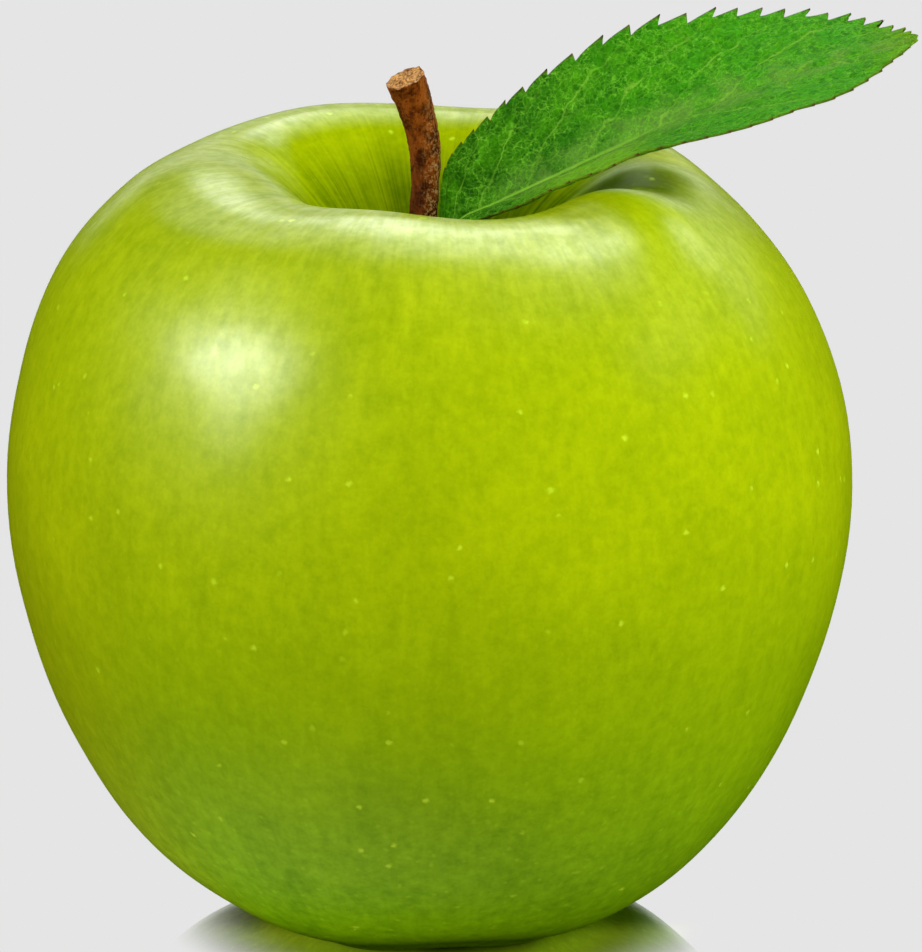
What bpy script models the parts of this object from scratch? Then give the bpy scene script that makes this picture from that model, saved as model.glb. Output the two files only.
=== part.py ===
"""A green apple that stands on the five lobes of its base, with its stem, one leaf and the dried calyx.

Metres, +Z up, floor at z = 0. Lengths are written in millimetres and scaled by MM. The apple is modelled round its
own axis, and then all of it is moved by AXIS_X, which brings the middle of its bounding box to x = 0.
"""

import math

import bmesh
import bpy
from mathutils import Vector

MM = 0.001
AXIS_X = -2.7 * MM
GAP = 0.3 * MM

# Fruit: control points (radius, height) of one smooth curve, from the floor of the stem cavity over the crest,
# down the outside and into the calyx basin.
FRUIT_OUTLINE = (
    (0, 58.38),
    (3.2, 58.58),
    (6.4, 61.18),
    (10.6, 67.68),
    (18.31, 74.47),
    (24.62, 73.74),
    (29.24, 69.95),
    (36.51, 62.17),
    (42.39, 40.66),
    (33.66, 14.69),
    (22.7, 3.44),
    (17.04, 2.49),
    (12.6, -1.22),
    (8.0, 2.38),
    (5.6, 6.18),
    (2.8, 6.78),
    (0, 6.78),
)
OUTLINE_POINTS_PER_SPAN = 3
FRUIT_STEPS = 64

# The uneven growth of the fruit: lobes round the base and round the crest, a crown that leans to the left, a mouth
# of the stem cavity that is narrower at the front left, and one furrow across the crest.
LOBES = 5
LOBE_SINK = 0.45
BASE_VALLEY = 0.7
BASE_LOBE_ANGLE = math.radians(-120)
CREST_LOBE = 0.7
CREST_LOBE_ANGLE = math.radians(-100)
CROWN_SHIFT_X = -0.7
MOUTH_NARROWING = 0.2
MOUTH_NARROW_ANGLE = math.radians(-150)
FURROW_DEPTH = 1.1
FURROW_ANGLE = math.radians(-17)
FURROW_WIDTH = math.radians(9)
FURROW_RADIUS = 21
FURROW_REACH = 7

# Stem: (x, y, z, radius) up the middle line, from its foot in the flesh to the flared cut at the top.
STEM_LINE = (
    (-1.1, 0.2, 55.2, 1.15),
    (-1.2, 0.1, 60.0, 1.2),
    (-0.95, -0.1, 65.0, 1.22),
    (-0.5, -0.2, 69.5, 1.27),
    (-0.25, -0.3, 73.5, 1.4),
    (-0.6, -0.6, 77.0, 1.52),
    (-1.35, -1.0, 80.0, 1.68),
    (-2.25, -1.5, 82.45, 1.9),
)
STEM_SIDES = 16

# Leaf: three lines from the foot of the stalk to the tip. The blade is spanned between them, and it starts at the
# third point. The near edge faces the viewer and the far edge stands up behind the midrib.
MIDRIB = (
    (1.45, -0.2, 61.4),
    (1.5, -0.5, 64.0),
    (1.8, -0.9, 66.6),
    (3.1, -1.0, 68.7),
    (6.6, -1.6, 70.5),
    (11.4, -2.4, 73.0),
    (17.7, -3.4, 76.3),
    (24.2, -4.4, 79.6),
    (30.6, -5.4, 82.5),
    (37.0, -6.3, 84.9),
    (41.7, -7.0, 86.4),
    (45.1, -8.0, 87.6),
)
FAR_EDGE = (
    (1.4, 0.6, 61.5),
    (1.4, 0.3, 64.3),
    (1.1, -0.1, 68.1),
    (1.6, 1.6, 73.0),
    (4.4, 3.2, 76.2),
    (9.4, 4.6, 80.1),
    (17.1, 5.4, 84.6),
    (25.3, 5.2, 86.6),
    (32.3, 4.0, 87.0),
    (38.4, 1.2, 87.2),
    (42.5, -2.6, 87.2),
    (45.2, -7.7, 87.8),
)
NEAR_EDGE = (
    (1.6, -1.0, 61.4),
    (1.8, -1.3, 63.8),
    (2.5, -1.8, 67.2),
    (4.7, -3.6, 69.2),
    (8.6, -6.6, 71.4),
    (13.7, -10.4, 74.8),
    (20.2, -14.0, 78.5),
    (26.7, -15.6, 80.5),
    (32.7, -15.4, 82.4),
    (38.5, -13.4, 84.1),
    (42.5, -10.6, 86.1),
    (45.2, -8.3, 87.5),
)
BLADE_START = 2 / 11
LEAF_THICKNESS = 0.6
FOLD_ROUNDING = 0.16
STALK_RISE = 0.4
RIB_DEPTH = 0.7
RIB_HALF_SHARE = 0.09
TEETH = 19
NOTCH_DEPTH = 0.9
SMALL_NOTCH = 0.6
NEAR_NOTCH = 0.4
TOOTH_PHASES = (0, 0.45, 0.9)
STALK_RINGS = 7

# Calyx: a stub in the top of the basin and five pointed sepals that curl outward below it.
STUB_RADIUS = 2.0
STUB_TOP = 9.4
STUB_SIDES = 20
CALYX_MOUTH = 4.6
SEPAL_LINE = ((1.9, 5.3), (2.5, 4.6), (3.2, 3.6), (4.1, 2.8), (5.2, 2.7))
SEPAL_THICKNESS = 0.7
SEPAL_ROWS = 6
SEPAL_COLUMNS = 8
SEPAL_ROOT_REACH = 0.12

# Roughness of each finish.
GLOSS = 0.2
SATIN = 0.4
MATTE = 0.75


def ease(low, high, value):
    """0 below low, 1 above high and a smooth step between them."""
    share = min(max((value - low) / (high - low), 0), 1)
    return share * share * (3 - 2 * share)


def along(points, share):
    """The point at a share, from 0 to 1, of a smooth line through the points."""
    span = share * (len(points) - 1)
    i = min(int(span), len(points) - 2)
    f = span - i
    a = Vector(points[i])
    b = Vector(points[i + 1])
    before = Vector(points[i - 1]) if i > 0 else 2 * a - b
    after = Vector(points[i + 2]) if i + 2 < len(points) else 2 * b - a
    cubic = 3 * (a - b) + after - before
    square = 2 * before - 5 * a + 4 * b - after
    return a + 0.5 * f * (b - before + f * (square + f * cubic))


def new_object(name, data, collection):
    obj = bpy.data.objects.new(name, data)
    obj.location.x = AXIS_X
    collection.objects.link(obj)
    return obj


def as_mesh(obj):
    """Turns an object into the plain mesh that its curve or its modifiers give, with shared points joined."""
    bpy.context.view_layer.update()
    graph = bpy.context.evaluated_depsgraph_get()
    mesh = bpy.data.meshes.new_from_object(obj.evaluated_get(graph))
    name = obj.name
    collection = obj.users_collection[0]
    bpy.data.objects.remove(obj)
    bm = bmesh.new()
    bm.from_mesh(mesh)
    bmesh.ops.remove_doubles(bm, verts=bm.verts, dist=0.001 * MM)
    if bm.faces:
        bmesh.ops.recalc_face_normals(bm, faces=bm.faces)
    bm.to_mesh(mesh)
    bm.free()
    return new_object(name, mesh, collection)


def finish(obj, material):
    obj.data.materials.clear()
    obj.data.materials.append(material)
    for polygon in obj.data.polygons:
        polygon.use_smooth = True


def surface_material(name, colour, roughness):
    material = bpy.data.materials.new(name)
    material.use_nodes = True
    shader = material.node_tree.nodes["Principled BSDF"]
    shader.inputs["Base Color"].default_value = (*colour, 1)
    shader.inputs["Roughness"].default_value = roughness
    shader.inputs["Metallic"].default_value = 0
    return material


def cut(obj, cutter):
    """Takes the cutter's shape out of the object."""
    cutter.hide_render = True
    cutter.display_type = "WIRE"
    modifier = obj.modifiers.new("cut " + cutter.name, "BOOLEAN")
    modifier.operation = "DIFFERENCE"
    modifier.solver = "EXACT"
    modifier.object = cutter


def tube(name, line, sides, collection, widen=0.0):
    """A round solid along a line of (x, y, z, radius) in millimetres, made wider all round by widen."""
    curve = bpy.data.curves.new(name, "CURVE")
    curve.dimensions = "3D"
    curve.bevel_depth = MM
    curve.bevel_resolution = sides // 4 - 1
    curve.use_fill_caps = True
    curve.resolution_u = 3
    spline = curve.splines.new("NURBS")
    spline.points.add(len(line) - 1)
    spline.order_u = 3
    spline.use_endpoint_u = True
    for point, (x, y, z, radius) in zip(spline.points, line):
        point.co = (x * MM, y * MM, z * MM, 1)
        point.radius = radius + widen
    return as_mesh(new_object(name, curve, collection))


def grown(point):
    """Where a point of the evenly turned fruit lies on the real one, in millimetres."""
    radius = math.hypot(point.x, point.y)
    angle = math.atan2(point.y, point.x)
    crown = ease(48, 72, point.z)
    foot = 1 - ease(0, 24, point.z)
    base_valley = 0.5 - 0.5 * math.cos(LOBES * (angle - BASE_LOBE_ANGLE))
    crest_lobe = 0.5 * math.cos(LOBES * (angle - CREST_LOBE_ANGLE))
    height = point.z
    height += foot * ease(3, 9, radius) * (BASE_VALLEY * base_valley - LOBE_SINK)
    height += CREST_LOBE * crown * crest_lobe * ease(4, 16, radius)
    turn = (angle - FURROW_ANGLE) / FURROW_WIDTH
    reach = (radius - FURROW_RADIUS) / FURROW_REACH
    height -= FURROW_DEPTH * crown * math.exp(-turn * turn - reach * reach)
    facing = max(math.cos(angle - MOUTH_NARROW_ANGLE), 0)
    narrow = MOUTH_NARROWING * crown * (1 - ease(15, 28, radius)) * facing**2
    x = point.x * (1 - narrow) + CROWN_SHIFT_X * crown
    return Vector((x, point.y * (1 - narrow), max(height, 0)))


def fruit_body(collection):
    """Turns the outline round the axis, then gives it its lobes, its furrow and its flat spots."""
    curve = bpy.data.curves.new("outline", "CURVE")
    curve.dimensions = "3D"
    spline = curve.splines.new("NURBS")
    spline.points.add(len(FRUIT_OUTLINE) - 1)
    spline.order_u = 4
    spline.use_endpoint_u = True
    spline.resolution_u = OUTLINE_POINTS_PER_SPAN
    for point, (radius, height) in zip(spline.points, FRUIT_OUTLINE):
        point.co = (radius * MM, 0, height * MM, 1)
    obj = as_mesh(new_object("fruit", curve, collection))
    screw = obj.modifiers.new("turn", "SCREW")
    screw.axis = "Z"
    screw.angle = math.tau
    screw.steps = FRUIT_STEPS
    screw.render_steps = FRUIT_STEPS
    screw.use_merge_vertices = True
    screw.merge_threshold = 0.01 * MM
    obj = as_mesh(obj)
    for vertex in obj.data.vertices:
        vertex.co = grown(vertex.co / MM) * MM
    return obj


def leaf_point(share, across):
    """A point of the blade's middle surface. Across is -1 at the near edge, 0 on the midrib, 1 at the far edge."""
    midrib = along(MIDRIB, share)
    far = along(FAR_EDGE, share) - midrib
    near = along(NEAR_EDGE, share) - midrib
    full_fold = math.hypot(1, FOLD_ROUNDING) - FOLD_ROUNDING
    fold = (math.hypot(across, FOLD_ROUNDING) - FOLD_ROUNDING) / full_fold
    return midrib + across * (far - near) / 2 + fold * (far + near) / 2


def leaf_normal(share, across):
    step = 0.01
    forward = leaf_point(min(share + step, 1), across) - leaf_point(max(share - step, 0), across)
    outward = leaf_point(share, across + step) - leaf_point(share, across - step)
    return forward.cross(outward).normalized()


def leaf_stations():
    """(share, depth of the notch) of every ring, from the foot of the stalk to the tip."""
    stations = [(BLADE_START * i / STALK_RINGS, 0) for i in range(STALK_RINGS)]
    for tooth in range(TEETH):
        size = NOTCH_DEPTH * (1 if tooth % 2 else SMALL_NOTCH)
        for phase in TOOTH_PHASES:
            blade_share = (tooth + phase) / TEETH
            ends = ease(0, 0.08, blade_share) * (1 - 0.6 * ease(0.8, 1, blade_share))
            share = BLADE_START + (1 - BLADE_START) * blade_share
            stations.append((share, size * (1 - phase) * ends))
    stations.append((1, 0))
    return stations


def leaf_ring(share, notch):
    """The points round the leaf at one station: its upper face from near to far, its lower face back."""
    blade = ease(BLADE_START - 0.03, BLADE_START + 0.05, share)
    columns = (0, RIB_HALF_SHARE, 0.4, 0.7, 0.93, 1)
    stalk_columns = (0, 0.45, 0.75, 0.88, 0.96, 1)
    upper = []
    lower = []
    for side in range(-5, 6):
        across = blade * columns[abs(side)] + (1 - blade) * stalk_columns[abs(side)]
        across = math.copysign(across, side)
        middle = leaf_point(share, across)
        if abs(side) == 5:
            inward = leaf_point(share, 0.9 * across) - middle
            middle += inward.normalized() * notch * (1 if side > 0 else NEAR_NOTCH)
        normal = leaf_normal(share, across)
        bulge = (1, 0.85, 0.5, 0.3, 0.1, 0)[abs(side)] * (1 - blade)
        rib = (1 - 0.8 * share) * blade if side == 0 else 0
        upper.append(middle + normal * (LEAF_THICKNESS / 2 + STALK_RISE * bulge))
        lower.append(middle - normal * (LEAF_THICKNESS / 2 + STALK_RISE * bulge + RIB_DEPTH * rib))
    return upper + lower[::-1]


def closed_loft(bm, rings):
    """Joins rings of points, each of the same count, into a closed solid with flat ends."""
    loops = [[bm.verts.new(point * MM) for point in ring] for ring in rings]
    count = len(loops[0])
    half = count // 2
    for a, b in zip(loops, loops[1:]):
        for i in range(count):
            j = (i + 1) % count
            # The lower face takes the other diagonal, which lies under the upper face's own.
            if i < half:
                bm.faces.new((a[i], a[j], b[j]))
                bm.faces.new((a[i], b[j], b[i]))
            else:
                bm.faces.new((a[i], a[j], b[i]))
                bm.faces.new((a[j], b[j], b[i]))
    for loop in (loops[0], loops[-1]):
        for i in range(half - 1):
            k = count - 1 - i
            bm.faces.new((loop[i], loop[i + 1], loop[k - 1], loop[k]))


def lofted(name, rings, collection):
    bm = bmesh.new()
    closed_loft(bm, rings)
    bmesh.ops.recalc_face_normals(bm, faces=bm.faces)
    mesh = bpy.data.meshes.new(name)
    bm.to_mesh(mesh)
    bm.free()
    return new_object(name, mesh, collection)


def calyx_line(angle):
    """The outline of the calyx at one angle, from the stub's side down one face of the sepal and up the other."""
    petal = 0.5 + 0.5 * math.cos(LOBES * (angle - BASE_LOBE_ANGLE) + math.pi)
    reach = SEPAL_ROOT_REACH + (1 - SEPAL_ROOT_REACH) * petal**1.3
    line = [(radius, 0, height) for radius, height in SEPAL_LINE]
    outer = []
    inner = []
    for row in range(SEPAL_ROWS):
        share = reach * row / (SEPAL_ROWS - 1)
        here = along(line, share)
        ahead = along(line, share + 0.02) - along(line, max(share - 0.02, 0))
        normal = Vector((-ahead.z, 0, ahead.x)).normalized() * SEPAL_THICKNESS / 2
        outer.append(here + normal)
        inner.append(here - normal)
    outer[0] = Vector((STUB_RADIUS, 0, outer[0].z + SEPAL_THICKNESS))
    return [Vector((STUB_RADIUS, 0, STUB_TOP))] + outer + inner[::-1]


def calyx_body(collection):
    """One solid of rings round the axis, closed by a fan of faces at the top and at the mouth."""
    bm = bmesh.new()
    columns = LOBES * SEPAL_COLUMNS
    lines = []
    for column in range(columns):
        angle = BASE_LOBE_ANGLE + column * math.tau / columns
        line = [Vector((p.x * math.cos(angle), p.x * math.sin(angle), p.z)) for p in calyx_line(angle)]
        lines.append([bm.verts.new(point * MM) for point in line])
    top = bm.verts.new(Vector((0, 0, STUB_TOP)) * MM)
    mouth = bm.verts.new(Vector((0, 0, CALYX_MOUTH)) * MM)
    for a, b in zip(lines, lines[1:] + lines[:1]):
        bm.faces.new((top, a[0], b[0]))
        bm.faces.new((mouth, b[-1], a[-1]))
        for i in range(len(a) - 1):
            bm.faces.new((a[i], a[i + 1], b[i + 1]))
            bm.faces.new((a[i], b[i + 1], b[i]))
    bmesh.ops.recalc_face_normals(bm, faces=bm.faces)
    mesh = bpy.data.meshes.new("calyx")
    bm.to_mesh(mesh)
    bm.free()
    return new_object("calyx", mesh, collection)


for old in list(bpy.data.objects):
    bpy.data.objects.remove(old)

apple = bpy.data.collections.new("green_apple")
cutters = bpy.data.collections.new("cutters")
bpy.context.scene.collection.children.link(apple)
bpy.context.scene.collection.children.link(cutters)

fruit = fruit_body(apple)
stem = tube("stem", STEM_LINE, STEM_SIDES, apple)
leaf = lofted("leaf", [leaf_ring(share, notch) for share, notch in leaf_stations()], apple)
calyx = calyx_body(apple)

# The stem's foot and the calyx stub stand in plain holes in the flesh, each with the gap all round.
foot_line = [(x, y, z, radius) for x, y, z, radius in STEM_LINE[:3]]
foot_line[0] = (*foot_line[0][:2], foot_line[0][2] - GAP / MM, foot_line[0][3])
cut(fruit, tube("stem_hole", foot_line, STEM_SIDES, cutters, widen=GAP / MM))
stub_line = [(0, 0, CALYX_MOUTH, STUB_RADIUS), (0, 0, STUB_TOP + GAP / MM, STUB_RADIUS)]
cut(fruit, tube("calyx_hole", stub_line, STUB_SIDES, cutters, widen=GAP / MM))

finish(fruit, surface_material("apple_skin", (0.42, 0.58, 0.02), GLOSS))
finish(stem, surface_material("stem_bark", (0.24, 0.09, 0.035), MATTE))
finish(leaf, surface_material("leaf_green", (0.08, 0.3, 0.02), SATIN))
finish(calyx, surface_material("calyx_brown", (0.16, 0.1, 0.05), MATTE))
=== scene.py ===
"""A whole green apple with its stem, one leaf and the dried calyx, on a pale glossy table in soft studio light.

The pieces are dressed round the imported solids, in metres and in their frame: +Z up, table at z = 0.
"""

import math

import bmesh
import bpy
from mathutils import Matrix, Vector, noise


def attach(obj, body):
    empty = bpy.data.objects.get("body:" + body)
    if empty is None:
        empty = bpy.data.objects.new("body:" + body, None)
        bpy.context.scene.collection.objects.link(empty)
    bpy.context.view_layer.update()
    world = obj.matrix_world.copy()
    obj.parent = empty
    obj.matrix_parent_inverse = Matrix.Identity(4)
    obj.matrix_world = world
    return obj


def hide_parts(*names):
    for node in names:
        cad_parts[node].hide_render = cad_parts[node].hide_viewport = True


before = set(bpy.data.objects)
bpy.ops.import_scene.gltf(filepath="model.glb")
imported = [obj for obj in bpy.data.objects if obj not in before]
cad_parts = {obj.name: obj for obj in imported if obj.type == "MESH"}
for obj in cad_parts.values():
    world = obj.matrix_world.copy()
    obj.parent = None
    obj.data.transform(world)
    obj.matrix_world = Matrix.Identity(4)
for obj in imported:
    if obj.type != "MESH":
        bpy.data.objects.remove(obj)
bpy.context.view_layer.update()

scene = bpy.context.scene
scene.view_settings.view_transform = "Standard"

# The table is a wide sheet of white acrylic, lit from below, so nothing casts a shadow on it. It is polished and
# mirrors what stands close on it, and the fruit throws a little green light on it in front of its foot.
# Lengths are in millimetres, in every section.
MM = 0.001
AXIS_X = -2.7
ROUND_SIDES = 96
TABLE_RADIUS = 1600
TABLE_WHITE = (0.783, 0.783, 0.783)
TABLE_ROUGHNESS = 0.02
MIRROR_FADE = (16.5, 29)
MIRROR_SHIFT = 2
GREEN_SPILL = (0.085, 0.12, 0.004)
SPILL_INNER_EDGE = (12, 17)
SPILL_OUTER_EDGE = (26, 21)
SPILL_BACK_EDGE = (-4.5, -10)


class Wire:
    """A socket of a material's nodes. Arithmetic on it adds the Math nodes that work the value out."""

    def __init__(self, tree, socket=None):
        self.tree = tree
        self.socket = socket

    def node(self, kind, settings, values, output=0):
        """Adds a node to the same material: its settings first, then the values or wires of its sockets."""
        made = self.tree.nodes.new("ShaderNode" + kind)
        for name, value in settings.items():
            setattr(made, name, value)
        for place, value in values.items():
            if isinstance(value, Wire):
                self.tree.links.new(value.socket, made.inputs[place])
            elif made.inputs[place].type == "RGBA":
                made.inputs[place].default_value = (*value, 1)
            else:
                made.inputs[place].default_value = value
        return Wire(self.tree, made.outputs[output])

    def maths(self, operation, *values):
        return self.node("Math", {"operation": operation}, dict(enumerate(values)))

    def __add__(self, other):
        return self.maths("ADD", self, other)

    def __radd__(self, other):
        return self.maths("ADD", other, self)

    def __sub__(self, other):
        return self.maths("SUBTRACT", self, other)

    def __rsub__(self, other):
        return self.maths("SUBTRACT", other, self)

    def __mul__(self, other):
        return self.maths("MULTIPLY", self, other)

    def __rmul__(self, other):
        return self.maths("MULTIPLY", other, self)

    def __truediv__(self, other):
        return self.maths("DIVIDE", self, other)

    def __pow__(self, other):
        return self.maths("POWER", self, other)

    def __abs__(self):
        return self.maths("ABSOLUTE", self)

    def ramp(self, start, end):
        """Goes smoothly from 0 to 1 as the value goes from start to end."""
        low, high = min(start, end), max(start, end)
        rises = float(start < end)
        ends = {0: self, 1: low, 2: high, 3: 1 - rises, 4: rises}
        return self.node("MapRange", {"interpolation_type": "SMOOTHSTEP"}, ends)

    def tint(self, first, second):
        """A colour that turns from the first to the second as the value goes from 0 to 1."""
        return self.node("Mix", {"data_type": "RGBA"}, {0: self, 6: first, 7: second}, 2)

    def times(self, first, second):
        """Two colours multiplied together."""
        settings = {"data_type": "RGBA", "blend_type": "MULTIPLY"}
        return self.node("Mix", settings, {0: 1.0, 6: first, 7: second}, 2)

    def glow(self, colour):
        return self.node("Emission", {}, {"Color": colour, "Strength": 1.0})

    def grain(self, vector, scale, detail=2.0, roughness=0.5, output=0):
        """Soft noise from 0 to 1, with about scale features to a unit of the vector."""
        values = {"Vector": vector, "Scale": scale, "Detail": detail, "Roughness": roughness}
        return self.node("TexNoise", {}, values, output)

    def cells(self, vector, scale, feature="F1", output="Distance"):
        """How far a point lies from the middle or the edge of its cell, in a pattern of uneven cells."""
        return self.node("TexVoronoi", {"feature": feature}, {"Vector": vector, "Scale": scale}, output)

    def astray(self, vector, amount, scale, detail):
        """The vector, led astray by the amount times a soft noise."""
        values = {0: self.grain(vector, scale, detail, output="Color"), 1: (amount,) * 3, 2: vector}
        return self.node("VectorMath", {"operation": "MULTIPLY_ADD"}, values)

    def joined(self, x, y, z):
        return self.node("CombineXYZ", {}, {0: x, 1: y, 2: z})

    def stretched(self, vector, scale):
        return self.node("Mapping", {}, {"Vector": vector, "Scale": scale})

    def bump(self, height, distance, strength):
        values = {"Height": height, "Distance": distance * MM, "Strength": strength}
        return self.node("Bump", {}, values)


def start_material(name):
    """A new material with no nodes, and its own coordinates in millimetres from the apple's axis."""
    material = bpy.data.materials.new(name)
    material.use_nodes = True
    material.node_tree.nodes.clear()
    paint = Wire(material.node_tree)
    own = paint.node("TexCoord", {}, {}, "Object")
    placing = {"Vector": own, "Location": (-AXIS_X, 0, 0), "Scale": (1 / MM, 1 / MM, 1 / MM)}
    own = paint.node("Mapping", {}, placing)
    parts = [paint.node("SeparateXYZ", {}, {0: own}, axis) for axis in range(3)]
    return material, paint, own, parts


def close_material(paint, shader):
    out = paint.tree.nodes.new("ShaderNodeOutputMaterial")
    paint.tree.links.new(shader.socket, out.inputs["Surface"])


def as_piece(name, bm, material):
    """Makes a smooth mesh object of the bmesh, whose lengths are in millimetres from the apple's axis."""
    bmesh.ops.translate(bm, verts=bm.verts, vec=(AXIS_X, 0, 0))
    bmesh.ops.scale(bm, verts=bm.verts, vec=(MM, MM, MM))
    for face in bm.faces:
        face.smooth = True
    mesh = bpy.data.meshes.new(name)
    bm.to_mesh(mesh)
    bm.free()
    mesh.materials.append(material)
    piece = bpy.data.objects.new(name, mesh)
    scene.collection.objects.link(piece)
    return piece


acrylic, paint, own, (x, y, z) = start_material("white_acrylic")
reach = ((x - MIRROR_SHIFT) ** 2 + y * y) ** 0.5
mirror = 1 - reach.ramp(*MIRROR_FADE) ** 2
polish = paint.node("BsdfGlossy", {}, {"Color": (1, 1, 1), "Roughness": TABLE_ROUGHNESS})
sheet = paint.node("MixShader", {}, {0: mirror, 1: paint.glow(TABLE_WHITE), 2: polish})
spill = reach.ramp(*SPILL_INNER_EDGE) * reach.ramp(*SPILL_OUTER_EDGE) * y.ramp(*SPILL_BACK_EDGE)
spill = paint.glow(spill.tint((0, 0, 0), GREEN_SPILL))
close_material(paint, paint.node("AddShader", {}, {0: sheet, 1: spill}))
bm = bmesh.new()
bmesh.ops.create_circle(bm, cap_ends=True, segments=ROUND_SIDES, radius=TABLE_RADIUS)
table = as_piece("table", bm, acrylic)
table.visible_diffuse = False
table.visible_glossy = False
table.visible_shadow = False

# Behind everything is a wide white sky, which lights nothing. Only the camera and the polished table see it, and
# it is as bright as the table, so that no horizon shows.
SKY_RADIUS = 5000
SKY_SUBDIVISIONS = 4

haze, paint = start_material("white_sky")[:2]
close_material(paint, paint.glow(TABLE_WHITE))
haze.cycles.emission_sampling = "NONE"
bm = bmesh.new()
bmesh.ops.create_icosphere(bm, subdivisions=SKY_SUBDIVISIONS, radius=SKY_RADIUS)
bmesh.ops.reverse_faces(bm, faces=bm.faces)
sky = as_piece("white_sky", bm, haze)
sky.visible_diffuse = False
sky.visible_shadow = False
sky_sees = bpy.data.collections.new("seen in the table")
sky_sees.objects.link(table)
sky.light_linking.receiver_collection = sky_sees

# The fruit is one grown piece: a round of flesh in a tight, waxy skin. It swells into soft lobes round the stem
# cavity and round the calyx basin, and it stands on the lobes of its base. The stem and the calyx stand in it.
FRUIT_OUTLINE = (
    (0, 58.38),
    (3.2, 58.58),
    (6.4, 61.18),
    (10.6, 67.68),
    (18.31, 74.47),
    (24.62, 73.74),
    (29.24, 69.95),
    (36.51, 62.17),
    (42.39, 40.66),
    (33.66, 14.69),
    (22.7, 3.44),
    (17.04, 2.49),
    (12.6, -1.22),
    (8.0, 2.38),
    (5.6, 6.18),
    (2.8, 6.78),
    (0, 6.78),
)
OUTLINE_ORDER = 4
ROWS_PER_SPAN = 12
FRUIT_STEPS = 256
MERGE_DISTANCE = 0.001
FLAT_SPOT_HEIGHT = 0.3
CROWN_HEIGHTS = (48, 72)
FOOT_TOP = 24
LOBES = 5
LOBE_SINK = 0.45
BASE_VALLEY = 0.7
BASE_LOBE_RADII = (3, 9)
BASE_LOBE_ANGLE = math.radians(-120)
CREST_LOBE = 0.7
CREST_LOBE_RADII = (4, 16)
CREST_LOBE_ANGLE = math.radians(-100)
CROWN_SHIFT_X = -0.7
MOUTH_NARROWING = 0.2
MOUTH_RADII = (15, 28)
MOUTH_NARROW_ANGLE = math.radians(-150)
FURROW_DEPTH = 1.1
FURROW_ANGLE = math.radians(-17)
FURROW_WIDTH = math.radians(9)
FURROW_RADIUS = 21
FURROW_REACH = 7
SWELL = 0.12
SWELL_SIZE = 9

# The colours of the skin, with painted shade and light round the leaf, the size of its pattern (streaks round
# the fruit and their length, or grains to a millimetre) and its wax.
SKIN_FOOT = (0.26, 0.55, 0.0006)
SKIN_SHOULDER = (0.415, 0.555, 0.0008)
SKIN_LEFT_CHEEK = (0.43, 0.54, 0.0008)
SKIN_CAVITY = (0.25, 0.37, 0.0008)
SKIN_FURROW_SHADE = (0.15, 0.22, 0.0008)
PAINTED_LEAF_SHADOW = (0.27, 0.36, 0.0008)
PAINTED_FLANK_LIGHT = (0.6, 0.72, 0.01)
SKIN_DARKEST = (0.35, 0.5, 0.5)
SKIN_LIGHTEST = (1.65, 1.5, 1.5)
PORE = (0.68, 0.92, 0.03)
SMALL_PORE = (0.5, 0.8, 0.015)
FINE_STREAKS = (40, 5)
STREAKS = (17, 7)
BANDS = (6, 16)
GRIT_SCALE = 2.2
MOTTLE_SCALE = 0.75
PATCH_SCALE = 0.12
PORE_STRAY = 0.45
PORE_STRAY_SCALE = 2.2
PORE_SCALE = 0.33
SMALL_PORE_SCALE = 0.7
AXIS_GUARD = 0.01
SKIN_HEIGHTS = (0, 52)
FAR_WALL_PLACE = (2, 12)
LEAF_SHADOW_PLACE = (12.8, -15)
LEAF_SHADOW_SIZE = (6.5, 5)
LIT_FLANK_PLACE = (19, 4.5)
LIT_FLANK_SIZE = (7, 4)
SHADE_ANGLE = math.radians(-12)
SKIN_ROUGHNESS = 0.6
WAX_ROUGHNESS = 0.28
WAX_IOR = 1.53
SKIN_RELIEF = 0.06


def ease(low, high, value):
    """0 below low, 1 above high and a smooth step between them."""
    share = min(max((value - low) / (high - low), 0), 1)
    return share * share * (3 - 2 * share)


def grown(point):
    """Where a point of the evenly turned fruit lies on the real one."""
    radius = math.hypot(point.x, point.y)
    angle = math.atan2(point.y, point.x)
    crown = ease(*CROWN_HEIGHTS, point.z)
    foot = 1 - ease(0, FOOT_TOP, point.z)
    base_valley = 0.5 - 0.5 * math.cos(LOBES * (angle - BASE_LOBE_ANGLE))
    crest_lobe = 0.5 * math.cos(LOBES * (angle - CREST_LOBE_ANGLE))
    height = point.z
    height += foot * ease(*BASE_LOBE_RADII, radius) * (BASE_VALLEY * base_valley - LOBE_SINK)
    height += CREST_LOBE * crown * crest_lobe * ease(*CREST_LOBE_RADII, radius)
    turn = (angle - FURROW_ANGLE) / FURROW_WIDTH
    reach = (radius - FURROW_RADIUS) / FURROW_REACH
    height -= FURROW_DEPTH * crown * math.exp(-turn * turn - reach * reach)
    facing = max(math.cos(angle - MOUTH_NARROW_ANGLE), 0)
    narrow = MOUTH_NARROWING * crown * (1 - ease(*MOUTH_RADII, radius)) * facing**2
    x = point.x * (1 - narrow) + CROWN_SHIFT_X * crown
    return Vector((x, point.y * (1 - narrow), max(height, 0)))


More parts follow.
